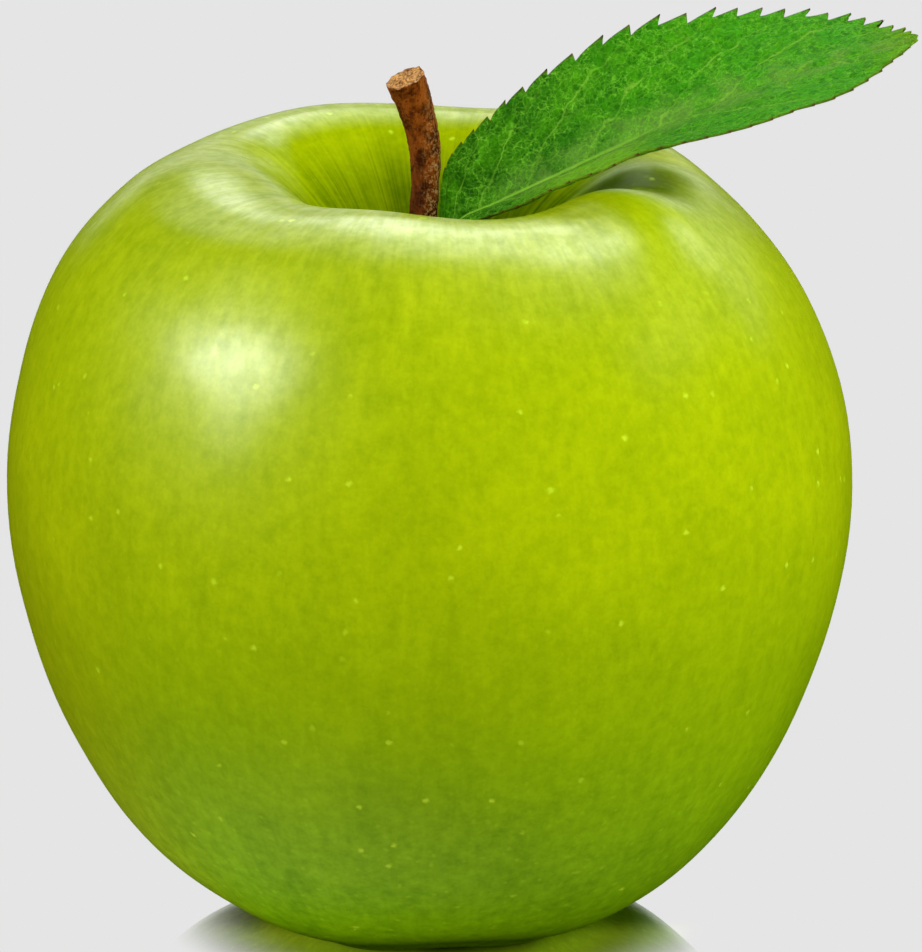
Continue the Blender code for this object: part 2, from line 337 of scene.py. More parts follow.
def curve_mesh(name, points, order, resolution, bevel=0.0, sides=4):
    """The mesh that Blender gives for a smooth curve through control points, as a line or as a tube."""
    curve = bpy.data.curves.new(name, "CURVE")
    curve.dimensions = "3D"
    curve.bevel_depth = bevel
    curve.bevel_resolution = sides // 4 - 1
    spline = curve.splines.new("NURBS")
    spline.points.add(len(points) - 1)
    spline.order_u = order
    spline.use_endpoint_u = True
    spline.resolution_u = resolution
    curve.resolution_u = resolution
    for made, (x, y, z, radius) in zip(spline.points, points):
        made.co = (x, y, z, 1)
        made.radius = radius
    obj = bpy.data.objects.new(name, curve)
    scene.collection.objects.link(obj)
    bpy.context.view_layer.update()
    mesh = bpy.data.meshes.new_from_object(obj.evaluated_get(bpy.context.evaluated_depsgraph_get()))
    bpy.data.objects.remove(obj)
    bm = bmesh.new()
    bm.from_mesh(mesh)
    bmesh.ops.remove_doubles(bm, verts=bm.verts, dist=MERGE_DISTANCE / 10)
    return bm


def swollen(point):
    """The small unevenness of a grown surface, in millimetres."""
    return SWELL * noise.noise(point / SWELL_SIZE)


def oval(x, y, place, size):
    """How far out a point lies from the middle of an oval on the crown. It is 1 on the oval itself."""
    return (((x - place[0]) / size[0]) ** 2 + ((y - place[1]) / size[1]) ** 2) ** 0.5


def streaked(paint, turn_x, turn_y, travel, across, length):
    """Where a point lies in a noise that is drawn out along the skin, from the stem down to the calyx."""
    return paint.joined(turn_x * across, turn_y * across, travel / length)


skin, paint, own, (x, y, z) = start_material("apple_skin")
radius = (x * x + y * y + AXIS_GUARD) ** 0.5
travel = z - radius
turn_x, turn_y = x / radius, y / radius

# where the skin changes, and where shade and light are painted on it
low = z.ramp(34, 6)
crown = z.ramp(56, 72)
crest = z.ramp(60, 66)
cavity = radius.ramp(17, 11) * z.ramp(50, 56)
far_wall = oval(x, y, FAR_WALL_PLACE, (1, 1)).ramp(18.6, 14.6) * radius.ramp(21.5, 17)
matte = far_wall.maths("MAXIMUM", far_wall, radius.ramp(14, 11)) * z.ramp(50, 56)
# painted shadow of the leaf on the front of the crest: darker, and with little wax
leaf_shadow = oval(x, y, LEAF_SHADOW_PLACE, LEAF_SHADOW_SIZE).ramp(1.2, 0.5) * crest
# painted light: a paler patch with less wax on the right flank of the crest, under the leaf's edge
lit_flank = oval(x, y, LIT_FLANK_PLACE, LIT_FLANK_SIZE).ramp(1.3, 0.4) * crest
# painted shade: a dark band with less wax in the furrow under the leaf, where the leaf's shadow falls
off_shade = 1 - turn_x * math.cos(SHADE_ANGLE) - turn_y * math.sin(SHADE_ANGLE)
furrow_shade = off_shade.ramp(0.022, 0.002) * radius.ramp(26, 22) * crest
left_cheek = turn_x.ramp(-0.55, -1.0) * z.ramp(66, 40) * (0.75 + 0.25 * z.ramp(10, 34))

# its pattern
fine_streaks = paint.grain(streaked(paint, turn_x, turn_y, travel, *FINE_STREAKS), 1.0, 3.0, 0.6)
streaks = paint.grain(streaked(paint, turn_x, turn_y, travel, *STREAKS), 1.0, 3.0, 0.6)
bands = paint.grain(streaked(paint, turn_x, turn_y, travel, *BANDS), 1.0, 2.0, 0.5)
grit = paint.grain(own, GRIT_SCALE, 3.0, 0.65)
mottle = paint.grain(own, MOTTLE_SCALE, 3.0, 0.6)
patches = paint.grain(own, PATCH_SCALE, 2.0, 0.5)
light = (grit - 0.5) * 0.22 + (mottle - 0.5) * (0.44 + 0.4 * low) + (patches - 0.5) * (0.2 + 0.2 * low)
light = light + (fine_streaks - 0.5) * (0.14 + 0.14 * crown + 0.8 * cavity)
light = light + (streaks - 0.5) * (0.16 + 0.2 * crown + 1.5 * cavity)
light = light + (bands - 0.5) * (0.16 + 0.5 * cavity)

# its pores, at uneven distances and of uneven strength
uneven = paint.astray(own, PORE_STRAY, PORE_STRAY_SCALE, 1.0)
chance = paint.node("SeparateColor", {}, {0: paint.cells(uneven, PORE_SCALE, output="Color")}, 0)
pores = paint.cells(uneven, PORE_SCALE).ramp(0.14, 0.04) * chance.ramp(0.25, 0.9)
small_pores = paint.cells(uneven, SMALL_PORE_SCALE).ramp(0.26, 0.06) * (0.25 + 0.75 * low)

tone = z.ramp(*SKIN_HEIGHTS).tint(SKIN_FOOT, SKIN_SHOULDER)
tone = left_cheek.tint(tone, SKIN_LEFT_CHEEK)
tone = cavity.tint(tone, SKIN_CAVITY)
# painted shade in the furrow under the leaf
tone = (furrow_shade * 0.9).tint(tone, SKIN_FURROW_SHADE)
# painted shadow of the leaf
tone = (leaf_shadow * 0.45).tint(tone, PAINTED_LEAF_SHADOW)
# painted light on the right flank
tone = (lit_flank * 0.85).tint(tone, PAINTED_FLANK_LIGHT)
tone = paint.times(tone, (light + 0.5).tint(SKIN_DARKEST, SKIN_LIGHTEST))
tone = (pores * 0.8).tint(tone, PORE)
tone = (small_pores * 0.5).tint(tone, SMALL_PORE)
wax = 1 - (mottle * 0.5 + fine_streaks * 0.5).ramp(0.6, 0.4) * (0.18 + 0.14 * crown)
wax = wax * (1 - matte) * (1 - 0.9 * furrow_shade) * (1 - 0.9 * leaf_shadow) * (1 - 0.5 * lit_flank)
relief = grit * 0.12 + fine_streaks * (0.12 + 0.3 * crown) + mottle * (0.4 + 0.8 * crown)
close_material(paint, paint.node("BsdfPrincipled", {}, {
    "Base Color": tone,
    "Roughness": SKIN_ROUGHNESS,
    "Specular IOR Level": 0.0,
    "Coat Weight": wax,
    "Coat Roughness": WAX_ROUGHNESS,
    "Coat IOR": WAX_IOR,
    "Normal": paint.bump(relief, SKIN_RELIEF, 1.0),
}))

outline = [(radius, 0, height, 1) for radius, height in FRUIT_OUTLINE]
bm = curve_mesh("outline", outline, OUTLINE_ORDER, ROWS_PER_SPAN)
bmesh.ops.spin(bm, geom=bm.verts[:] + bm.edges[:], cent=(0, 0, 0), axis=(0, 0, 1), angle=math.tau,
               steps=FRUIT_STEPS, use_merge=True)
bmesh.ops.remove_doubles(bm, verts=bm.verts, dist=MERGE_DISTANCE)
bmesh.ops.recalc_face_normals(bm, faces=bm.faces)
for vert in bm.verts:
    outward = vert.normal.copy()
    place = grown(vert.co)
    vert.co = place if place.z < FLAT_SPOT_HEIGHT else place + outward * swollen(place)
fruit = as_piece("apple_fruit", bm, skin)
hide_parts("fruit")
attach(fruit, "root")

# The stem is a woody stalk, bent a little, with rough bark and pale pores. It was cut off the twig, so its top end
# flares and shows torn tan fibres. Its foot grows out of the flesh at the bottom of the cavity.
STEM_LINE = (
    # x, y, z, radius
    (-1.1, 0.2, 55.2, 1.15),
    (-1.2, 0.1, 60.0, 1.2),
    (-0.95, -0.1, 65.0, 1.22),
    (-0.5, -0.2, 69.5, 1.27),
    (-0.25, -0.3, 73.5, 1.4),
    (-0.6, -0.6, 77.0, 1.52),
    (-1.35, -1.0, 80.0, 1.68),
    (-2.25, -1.5, 82.45, 1.9),
)
STEM_ORDER = 3
STEM_ROWS_PER_SPAN = 14
STEM_SIDES = 56
CUT_RINGS = (0.1, 0.2, 0.25, 0.25, 0.25, 0.25, 0.25)
CUT_SINK = 0.1
CUT_EDGE = 0.5
CUT_LUMP = 0.3
CUT_LUMP_FINENESS = 1.3
CUT_SPLINTER = 0.2
CUT_SPLINTER_FINENESS = 3.1
BARK_DEPTH = 0.13
RIDGE_FINENESS = 1.6
RIDGE_FINENESS_ALONG = 0.5
KNOB = 0.6
KNOB_FINENESS = 2.7
BARK_FOOT = (0.07, 0.014, 0.003)
BARK_TOP = (0.19, 0.045, 0.004)
BARK_DARKEST = (0.3, 0.25, 0.25)
BARK_LIGHTEST = (1.5, 1.5, 1.4)
BARK_FIBRE = (0.42, 0.15, 0.025)
BARK_PORE = (0.62, 0.36, 0.13)
BARK_FLECK = (0.045, 0.008, 0.003)
CUT_DARK = (0.16, 0.04, 0.008)
CUT_PALE = (0.85, 0.46, 0.14)
WARM_SCALE = 0.9
FLECK_SCALE = 3.2
FIBRE_STRETCH = (5.0, 5.0, 0.5)
PORE_STRETCH = (3.0, 3.0, 1.8)
BARK_HEIGHTS = (64, 80)
BARK_GLOSS = 0.08
BARK_RELIEF = 0.12

bark, paint, own, (x, y, z) = start_material("stem_bark")
warm = paint.grain(own, WARM_SCALE, 3.0, 0.6)
fibre = paint.grain(paint.stretched(own, FIBRE_STRETCH), 1.0, 3.0, 0.6)
flecks = paint.grain(own, FLECK_SCALE, 3.0, 0.6)
pores = paint.cells(paint.stretched(own, PORE_STRETCH), 1.0)
height = z.ramp(*BARK_HEIGHTS)
right = (x + 0.5).ramp(-0.6, 0.9) * (1.1 - height * 0.8)
pale = (pores.ramp(0.36, 0.16) * 0.8 + flecks.ramp(0.5, 0.62)) * right
tone = height.tint(BARK_FOOT, BARK_TOP)
tone = paint.times(tone, warm.ramp(0.36, 0.62).tint(BARK_DARKEST, BARK_LIGHTEST))
tone = (fibre.ramp(0.5, 0.75) * 0.4).tint(tone, BARK_FIBRE)
tone = pale.maths("MINIMUM", pale * 0.8, 0.85).tint(tone, BARK_PORE)
tone = (flecks.ramp(0.44, 0.34) * 0.7).tint(tone, BARK_FLECK)
cut_face = paint.node("Attribute", {"attribute_name": "cut_face"}, {}, "Fac")
torn = (fibre * 0.4 + flecks * 0.6).ramp(0.36, 0.6)
tone = cut_face.tint(tone, torn.tint(CUT_DARK, CUT_PALE))
relief = fibre * 0.6 + warm * 0.4 - pores.ramp(0.36, 0.1) * 0.5
close_material(paint, paint.node("BsdfPrincipled", {}, {
    "Base Color": tone,
    "Roughness": 0.65 + fibre * 0.2,
    "Specular IOR Level": BARK_GLOSS,
    "Normal": paint.bump(relief, BARK_RELIEF, 0.8),
}))

bm = curve_mesh("stem", STEM_LINE, STEM_ORDER, STEM_ROWS_PER_SPAN, 1.0, STEM_SIDES)
cut = bm.verts.layers.float.new("cut_face")
caps = bmesh.ops.holes_fill(bm, edges=bm.edges, sides=0)["faces"]
bmesh.ops.recalc_face_normals(bm, faces=bm.faces)
top_face = max(caps, key=lambda face: face.calc_center_median().z)
top_normal = top_face.normal.copy()
for width in CUT_RINGS:
    bmesh.ops.inset_region(bm, faces=[top_face], thickness=width)
    for vert in top_face.verts:
        vert[cut] = 1
bm.normal_update()
top_centre = top_face.calc_center_median()
for vert in bm.verts:
    below_cut = (top_centre - vert.co).dot(top_normal)
    lift = CUT_LUMP * noise.noise(vert.co * CUT_LUMP_FINENESS)
    lift += CUT_SPLINTER * noise.noise(vert.co * CUT_SPLINTER_FINENESS)
    lift -= CUT_SINK
    if vert[cut]:
        vert.co += top_normal * lift
    else:
        along_x, along_y = vert.co.x * RIDGE_FINENESS, vert.co.y * RIDGE_FINENESS
        rough = noise.noise(Vector((along_x, along_y, vert.co.z * RIDGE_FINENESS_ALONG)))
        rough += KNOB * noise.noise(vert.co * KNOB_FINENESS)
        vert.co += vert.normal * BARK_DEPTH * rough + top_normal * lift * ease(CUT_EDGE, 0, below_cut)
stem = as_piece("apple_stem", bm, bark)
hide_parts("stem")
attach(stem, "root")

# The leaf is one thin blade on a short stalk, folded along its midrib, with forward-pointing teeth that end in dry
# brown points. Side veins run from the midrib to the edge, and a net of fine veins fills the blade between them.
MIDRIB = (
    (1.45, -0.2, 61.4),
    (1.5, -0.5, 64.0),
    (1.8, -0.9, 66.6),
    (3.1, -1.0, 68.7),
    (6.6, -1.6, 70.5),
    (11.4, -2.4, 73.0),
    (17.7, -3.4, 76.3),
    (24.2, -4.4, 79.6),
    (30.6, -5.4, 82.5),
    (37.0, -6.3, 84.9),
    (41.7, -7.0, 86.4),
    (45.1, -8.0, 87.6),
)
FAR_EDGE = (
    (1.4, 0.6, 61.5),
    (1.4, 0.3, 64.3),
    (1.1, -0.1, 68.1),
    (1.6, 1.6, 73.0),
    (4.4, 3.2, 76.2),
    (9.4, 4.6, 80.1),
    (17.1, 5.4, 84.6),
    (25.3, 5.2, 86.6),
    (32.3, 4.0, 87.0),
    (38.4, 1.2, 87.2),
    (42.5, -2.6, 87.2),
    (45.2, -7.7, 87.8),
)
NEAR_EDGE = (
    (1.6, -1.0, 61.4),
    (1.8, -1.3, 63.8),
    (2.5, -1.8, 67.2),
    (4.7, -3.6, 69.2),
    (8.6, -6.6, 71.4),
    (13.7, -10.4, 74.8),
    (20.2, -14.0, 78.5),
    (26.7, -15.6, 80.5),
    (32.7, -15.4, 82.4),
    (38.5, -13.4, 84.1),
    (42.5, -10.6, 86.1),
    (45.2, -8.3, 87.5),
)
# A share runs from 0 at the foot of the stalk to 1 at the tip. Across runs from -1 at the near edge, over 0 at the
# midrib, to 1 at the far edge.
BLADE_START = 2 / 11
BLADE_END = 0.997
FOLD_ROUNDING = 0.16
TEETH = 28
COLUMNS_PER_TOOTH = 10
STALK_COLUMNS = 24
ACROSS_COLUMNS = 96
NOTCH_DEPTH = 1.5
SMALL_NOTCH = 0.62
SMALL_NOTCH_AT_TIP = 0.95
NEAR_NOTCH = 0.22
FIRST_TEETH = 0.25
TEETH_GROW = (0.1, 0.5)
TEETH_EVEN_OUT = (0.7, 0.9)
TEETH_SHRINK = (0.8, 0.94)
SHRINKAGE = 0.3
TEETH_STOP = (0.94, 0.995)
TOOTH_UNEVENNESS = 0.5
TOOTH_SEED = 1.37
TOOTH_CURVE = 1.3
TOOTH_MEAN = 0.6
TOOTH_HOOK = 0.8
HOOK_START = 0.5
NOTCH_HOOK = 0.6
NOTCH_HOOK_END = 0.35
SIDE_VEINS = 9
VEIN_SWEEP = 0.2
FAR_VEIN_STEP = 0.45
STALK_THICKNESS = 1.4
BLADE_THICKNESS = 0.42
RIM_THICKNESS = 0.22
RIB_THICKNESS = 1.1
VEIN_THICKENING = 0.25
TIP_THICKNESS = 0.08
TIP_NARROWS = (0.94, 0.99)
TIP_FRAME = 0.98
STEP = 0.01
RISE = 0.3
STALK_RISE = 0.4
PUFF = 0.1
GROOVE = 0.25
RIPPLE = 0.2
RIPPLE_SIZE = 4.5
CRINKLE = 0.07
CRINKLE_SIZE = 1.1
LEAF_FOOT = (0.018, 0.12, 0.002)
LEAF_MIDDLE = (0.036, 0.325, 0.0015)
LEAF_CLOUD = (0.07, 0.34, 0.002)
LEAF_TIP = (0.16, 0.34, 0.006)
LEAF_LIT_STRIP = (0.2, 0.5, 0.012)
LEAF_DARKEST = (0.5, 0.62, 0.6)
LEAF_LIGHTEST = (1.5, 1.32, 1.4)
LEAF_PAINTED_SHEEN = (0.22, 0.36, 0.07)
LEAF_NET = (0.2, 0.6, 0.03)
LEAF_VEIN = (0.3, 0.64, 0.05)
LEAF_RIM = (0.16, 0.09, 0.012)
TOOTH_TIP = (0.1, 0.03, 0.008)
WOBBLE_SCALE = 0.5
CLOUD_SCALE = 0.35
SPECKLE_SCALE = 1.3
DUST_SCALE = 3.4
THREAD_SCALE = 1.3
NET_STRAY = 1.1
NET_STRAY_SCALE = 0.9
NET_SCALE = 0.8
FINE_NET_SCALE = 1.7
LEAF_GLOSS = 0.025
LEAF_RELIEF = 0.12


def along(points, share):
    """The point at a share, from 0 to 1, of a smooth line through the points."""
    span = share * (len(points) - 1)
    i = min(int(span), len(points) - 2)
    f = span - i
    a = Vector(points[i])
    b = Vector(points[i + 1])
    before = Vector(points[i - 1]) if i > 0 else 2 * a - b
    after = Vector(points[i + 2]) if i + 2 < len(points) else 2 * b - a
    cubic = 3 * (a - b) + after - before
    square = 2 * before - 5 * a + 4 * b - after
    return a + 0.5 * f * (b - before + f * (square + f * cubic))


def leaf_lines(share):
    """The midrib's point at a share of the leaf, and the ways from it to the far edge and to the near edge."""
    midrib = along(MIDRIB, share)
    return midrib, along(FAR_EDGE, share) - midrib, along(NEAR_EDGE, share) - midrib


def leaf_point(lines, across):
    """A point on the plain folded blade, between its midrib and its edges."""
    midrib, far, near = lines
    full_fold = math.hypot(1, FOLD_ROUNDING) - FOLD_ROUNDING
    fold = (math.hypot(across, FOLD_ROUNDING) - FOLD_ROUNDING) / full_fold
    return midrib + across * (far - near) / 2 + fold * (far + near) / 2


def vein_phase(share, side, far_half):
    """How many side veins lie between the foot of the blade and a point. It is whole on a vein."""
    blade_share = (share - BLADE_START) / (1 - BLADE_START)
    return SIDE_VEINS * (blade_share - VEIN_SWEEP * side * (0.6 + 0.4 * side)) + far_half * FAR_VEIN_STEP


def tooth_at(column, across):
    """The share at a column of the grid, how far along its tooth it is, and the tooth's notch and hook."""
    if column <= STALK_COLUMNS:
        return BLADE_START * column / STALK_COLUMNS, 0, 0, 0
    tooth, step = divmod(column - STALK_COLUMNS - 1, COLUMNS_PER_TOOTH)
    phase = (step + 0.5) / COLUMNS_PER_TOOTH
    blade_share = (tooth + (step + 1) / COLUMNS_PER_TOOTH) / TEETH
    ends = FIRST_TEETH + (1 - FIRST_TEETH) * ease(*TEETH_GROW, blade_share)
    ends *= 1 - ease(*TEETH_STOP, blade_share)
    ends *= 1 - SHRINKAGE * ease(*TEETH_SHRINK, blade_share)
    small = SMALL_NOTCH + (SMALL_NOTCH_AT_TIP - SMALL_NOTCH) * ease(*TEETH_EVEN_OUT, blade_share)
    size = NOTCH_DEPTH * (1 if tooth % 2 else small) * ends
    size *= 1 + TOOTH_UNEVENNESS * noise.noise((tooth * TOOTH_SEED, 0, 0))
    size *= 1 if across > 0 else NEAR_NOTCH
    notch = size * (TOOTH_MEAN - phase**TOOTH_CURVE)
    bent = ease(HOOK_START, 1, phase) + NOTCH_HOOK * max(0, 1 - phase / NOTCH_HOOK_END)
    hook = TOOTH_HOOK * size / NOTCH_DEPTH * bent
    return BLADE_START + (BLADE_END - BLADE_START) * blade_share, phase, notch, hook


green, paint, own, (x, y, z) = start_material("leaf_green")
spread = paint.node("UVMap", {"uv_map": "leaf"}, {})
share = paint.node("SeparateXYZ", {}, {0: spread}, 0)
across = paint.node("SeparateXYZ", {}, {0: spread}, 1)
side = abs(across)
wobble = paint.grain(own, WOBBLE_SCALE, 3.0)
cloud = paint.grain(own, CLOUD_SCALE, 3.0)
speckle = paint.grain(own, SPECKLE_SCALE, 2.0, 0.6)
dust = paint.grain(own, DUST_SCALE, 2.0, 0.6)

# its veins
phase = vein_phase(share, side, across.maths("GREATER_THAN", across, 0.0)) + (wobble - 0.5) * 0.5
from_vein = abs(phase - phase.maths("ROUND", phase))
side_vein = from_vein.ramp(0.045, 0.012) * side.ramp(1.0, 0.6) * (0.35 + 0.65 * cloud.ramp(0.4, 0.6))
midrib_line = side.ramp(0.035, 0.012) * x.ramp(26, 12)
veins = side_vein.maths("MAXIMUM", side_vein * 0.5, midrib_line * 0.8)
wander = paint.astray(own, NET_STRAY, NET_STRAY_SCALE, 2.0)
net = paint.cells(wander, NET_SCALE, "DISTANCE_TO_EDGE")
fine_net = paint.cells(wander, FINE_NET_SCALE, "DISTANCE_TO_EDGE")
threads = abs(paint.grain(own, THREAD_SCALE, 1.0) - 0.5).ramp(0.045, 0.0)
netting = net.ramp(0.1, 0.0) * 0.55 + fine_net.ramp(0.14, 0.0) * 0.5 + threads * 0.5
netting = netting * (0.35 + 0.65 * wobble.ramp(0.35, 0.6)) * (0.5 + 0.5 * dust.ramp(0.4, 0.6))

tone = x.ramp(2, 34).tint(LEAF_FOOT, LEAF_MIDDLE)
tone = (cloud.ramp(0.35, 0.7) * 0.5).tint(tone, LEAF_CLOUD)
tone = x.ramp(39, 47).tint(tone, LEAF_TIP)
# painted light: a lighter yellow-green strip on the near half, by the foot of the blade
lit_strip = across.ramp(-0.05, -0.2) * x.ramp(7, 13) * x.ramp(22, 17)
tone = (lit_strip * 0.8).tint(tone, LEAF_LIT_STRIP)
light = (speckle * 0.6 + dust * 0.4).ramp(0.3, 0.7)
tone = paint.times(tone, light.tint(LEAF_DARKEST, LEAF_LIGHTEST))
# painted sheen: a pale grey-green band along the midrib, where the curved blade catches the light
midrib_sheen = side.ramp(0.42, 0.1) * x.ramp(4, 10) * cloud.ramp(0.3, 0.6)
tone = (midrib_sheen * 0.42).tint(tone, LEAF_PAINTED_SHEEN)
tone = (netting * 0.7).tint(tone, LEAF_NET)
tone = veins.tint(tone, LEAF_VEIN)
tone = (side.ramp(0.985, 1.0) * 0.45).tint(tone, LEAF_RIM)
tips = paint.node("Attribute", {"attribute_name": "tooth_tip"}, {}, "Fac")
tone = tips.tint(tone, TOOTH_TIP)
relief = speckle * 0.6 - net.ramp(0.16, 0.0) * 0.5 - fine_net.ramp(0.2, 0.0) * 0.3 - side_vein * 0.4
close_material(paint, paint.node("BsdfPrincipled", {}, {
    "Base Color": tone,
    "Roughness": 0.5 + cloud * 0.12,
    "Specular IOR Level": LEAF_GLOSS,
    "Normal": paint.bump(relief, LEAF_RELIEF, 0.8),
}))

bm = bmesh.new()
columns = STALK_COLUMNS + TEETH * COLUMNS_PER_TOOTH
uv = bm.loops.layers.uv.new("leaf")
tip_mark = bm.verts.layers.float.new("tooth_tip")
weight = bm.verts.layers.deform.new()
bmesh.ops.create_grid(bm, x_segments=columns, y_segments=ACROSS_COLUMNS, size=1)
placed = {}
for vert in bm.verts:
    across = vert.co.y
    side = abs(across)
    share, phase, notch, hook = tooth_at(round((vert.co.x + 1) / 2 * columns), across)
    placed[vert] = (share, across)
    point = leaf_point(leaf_lines(share), across)
    ahead = (along(MIDRIB, min(share + STEP, 1)) - along(MIDRIB, max(share - STEP, 0))).normalized()
    lines = leaf_lines(min(share, TIP_FRAME))
    sideways = (leaf_point(lines, across + STEP) - leaf_point(lines, across - STEP)).normalized()
    upward = ahead.cross(sideways).normalized()
    outer = ease(0.7, 1, side) ** 2
    blade = ease(BLADE_START - 0.02, BLADE_START + 0.06, share)
    from_vein = vein_phase(share, side, across > 0)
    from_vein = abs(from_vein - round(from_vein))

    # the relief of the blade, and its teeth
    puff = PUFF * blade * (ease(0, 0.35, from_vein) - 0.6) * ease(0, 0.2, side) * (1 - outer)
    groove = GROOVE * blade * (1 - ease(0, 0.09, side))
    ripple = RIPPLE * blade * side**2 * noise.noise(point / RIPPLE_SIZE)
    ripple += CRINKLE * blade * (1 - outer) * noise.noise(point / CRINKLE_SIZE)
    point += upward * (RISE + puff - groove + ripple + STALK_RISE * (1 - blade) * (1 - side))
    point += outer * (ahead * hook - sideways * math.copysign(1, across) * notch)
    vert.co = point
    vert[tip_mark] = ease(0.75, 0.95, phase) * ease(0.96, 1, side) * ease(1, 0.9, share)

    # its thickness, which is greatest in the midrib and the stalk
    rib = (1 - ease(0.02, 0.07, side)) * (1 - 0.75 * share)
    vein = (1 - ease(0.0, 0.1, from_vein)) * (1 - side) * VEIN_THICKENING
    thick = BLADE_THICKNESS + (RIB_THICKNESS - BLADE_THICKNESS) * rib + vein
    thick += (RIM_THICKNESS - thick) * ease(0.75, 1, side)
    thick += (TIP_THICKNESS - thick) * ease(*TIP_NARROWS, share)
    stalk_thick = STALK_THICKNESS * math.sqrt(max(1 - across * across, 0.06))
    vert[weight][0] = (thick * blade + stalk_thick * (1 - blade)) / STALK_THICKNESS
for face in bm.faces:
    for loop in face.loops:
        loop[uv].uv = placed[loop.vert]
leaf = as_piece("apple_leaf", bm, green)
leaf.vertex_groups.new(name="thickness")
solidify = leaf.modifiers.new("blade", "SOLIDIFY")
solidify.thickness = STALK_THICKNESS * MM
solidify.offset = -1
solidify.vertex_group = "thickness"
solidify.use_rim = True
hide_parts("leaf")
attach(leaf, "root")

# The calyx is what is left of the flower: five dry pointed sepals on a short stub, curled outward in the basin
# underneath. They are thin, brown and woolly.
STUB_RADIUS = 2.0
STUB_TOP = 9.4
CALYX_MOUTH = 4.6
SEPAL_LINE = ((1.9, 5.3), (2.5, 4.6), (3.2, 3.6), (4.1, 2.8), (5.2, 2.7))
SEPAL_THICKNESS = 0.6
SEPAL_ROOT_REACH = 0.12
SEPAL_POINT = 1.3
SEPAL_STEP = 0.02
SEPAL_ROWS = 20
CALYX_COLUMNS = 200
WRINKLE = 0.08
WRINKLES_ROUND = 9
WRINKLES_ALONG = 0.6
CALYX_MERGE = 0.002
WOOL_SCALE = 2.2
WOOL_DARK = (0.035, 0.02, 0.009)
WOOL_PALE = (0.15, 0.1, 0.05)
SEPAL_GREEN = (0.07, 0.055, 0.018)
CALYX_ROUGHNESS = 0.85
WOOL_RELIEF = 0.15

dry, paint, own, (x, y, z) = start_material("calyx_brown")
wool = paint.grain(own, WOOL_SCALE, 4.0, 0.65)
tone = wool.ramp(0.3, 0.7).tint(WOOL_DARK, WOOL_PALE)
tone = (z.ramp(5.0, 2.4) * 0.5).tint(tone, SEPAL_GREEN)
close_material(paint, paint.node("BsdfPrincipled", {}, {
    "Base Color": tone,
    "Roughness": CALYX_ROUGHNESS,
    "Normal": paint.bump(wool, WOOL_RELIEF, 0.9),
}))


def calyx_point(angle, row):
    """A point of the calyx at an angle. Rows run down the stub, out along one face of a sepal and back."""
    petal = 0.5 - 0.5 * math.cos(LOBES * (angle - BASE_LOBE_ANGLE))
    reach = SEPAL_ROOT_REACH + (1 - SEPAL_ROOT_REACH) * petal**SEPAL_POINT
    if row == 0:
        return Vector((0, 0, STUB_TOP))
    if row == 1:
        return Vector((STUB_RADIUS, 0, STUB_TOP))
    if row == 2 * SEPAL_ROWS + 2:
        return Vector((0, 0, CALYX_MOUTH))
    outer = row < SEPAL_ROWS + 2
    step = row - 2 if outer else 2 * SEPAL_ROWS + 1 - row
    share = reach * step / (SEPAL_ROWS - 1)
    line = [(radius, 0, height) for radius, height in SEPAL_LINE]
    ahead = along(line, share + SEPAL_STEP) - along(line, max(share - SEPAL_STEP, 0))
    normal = Vector((-ahead.z, 0, ahead.x)).normalized() * SEPAL_THICKNESS / 2
    if outer and step == 0:
        return Vector((STUB_RADIUS, 0, along(line, 0).z + 2 * normal.z + SEPAL_THICKNESS))
    return along(line, share) + (normal if outer else -normal)


bm = bmesh.new()
rows = 2 * SEPAL_ROWS + 2
bmesh.ops.create_grid(bm, x_segments=CALYX_COLUMNS, y_segments=rows, size=1)
for vert in bm.verts:
    angle = (vert.co.x + 1) / 2 * math.tau
    point = calyx_point(angle, round((vert.co.y + 1) / 2 * rows))
    turn_x, turn_y = math.cos(angle), math.sin(angle)
    fold = Vector((turn_x * WRINKLES_ROUND, turn_y * WRINKLES_ROUND, point.x * WRINKLES_ALONG))
    wrinkle = WRINKLE * noise.noise(fold)
    vert.co = (point.x * turn_x, point.x * turn_y, point.z + wrinkle * ease(2, 3, point.x))
bmesh.ops.remove_doubles(bm, verts=bm.verts, dist=CALYX_MERGE)
bmesh.ops.recalc_face_normals(bm, faces=bm.faces)
calyx = as_piece("apple_calyx", bm, dry)
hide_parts("calyx")
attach(calyx, "root")

# The camera has a long lens and stands 0.7 m away, so there is little perspective. It looks a little down on the
# fruit, and past its middle, so that the fruit lies low in the frame and left of its middle.
VIEW_DISTANCE = 713.4
VIEW_ELEVATION = math.radians(18.06)
AIM_HEIGHT = 36.15
IMAGE_WIDTH = 922
IMAGE_HEIGHT = 952
FOCAL_PIXELS = 7500
AIM_PIXEL = (429.5, 545.5)
SENSOR_WIDTH = 36
CLIP_START = 50

camera = bpy.data.objects.new("camera", bpy.data.cameras.new("camera"))
scene.collection.objects.link(camera)
scene.camera = camera
camera.data.sensor_fit = "HORIZONTAL"
camera.data.sensor_width = SENSOR_WIDTH
camera.data.lens = SENSOR_WIDTH * FOCAL_PIXELS / IMAGE_WIDTH
camera.data.clip_start = CLIP_START * MM
ahead = Vector((0, math.cos(VIEW_ELEVATION), -math.sin(VIEW_ELEVATION)))
upward = Vector((0, math.sin(VIEW_ELEVATION), math.cos(VIEW_ELEVATION)))
camera.location = (Vector((AXIS_X, 0, AIM_HEIGHT)) - ahead * VIEW_DISTANCE) * MM
aim = ahead * FOCAL_PIXELS
aim += Vector((1, 0, 0)) * (IMAGE_WIDTH / 2 - AIM_PIXEL[0])
aim += upward * (AIM_PIXEL[1] - IMAGE_HEIGHT / 2)
camera.rotation_euler = aim.to_track_quat("-Z", "Y").to_euler()

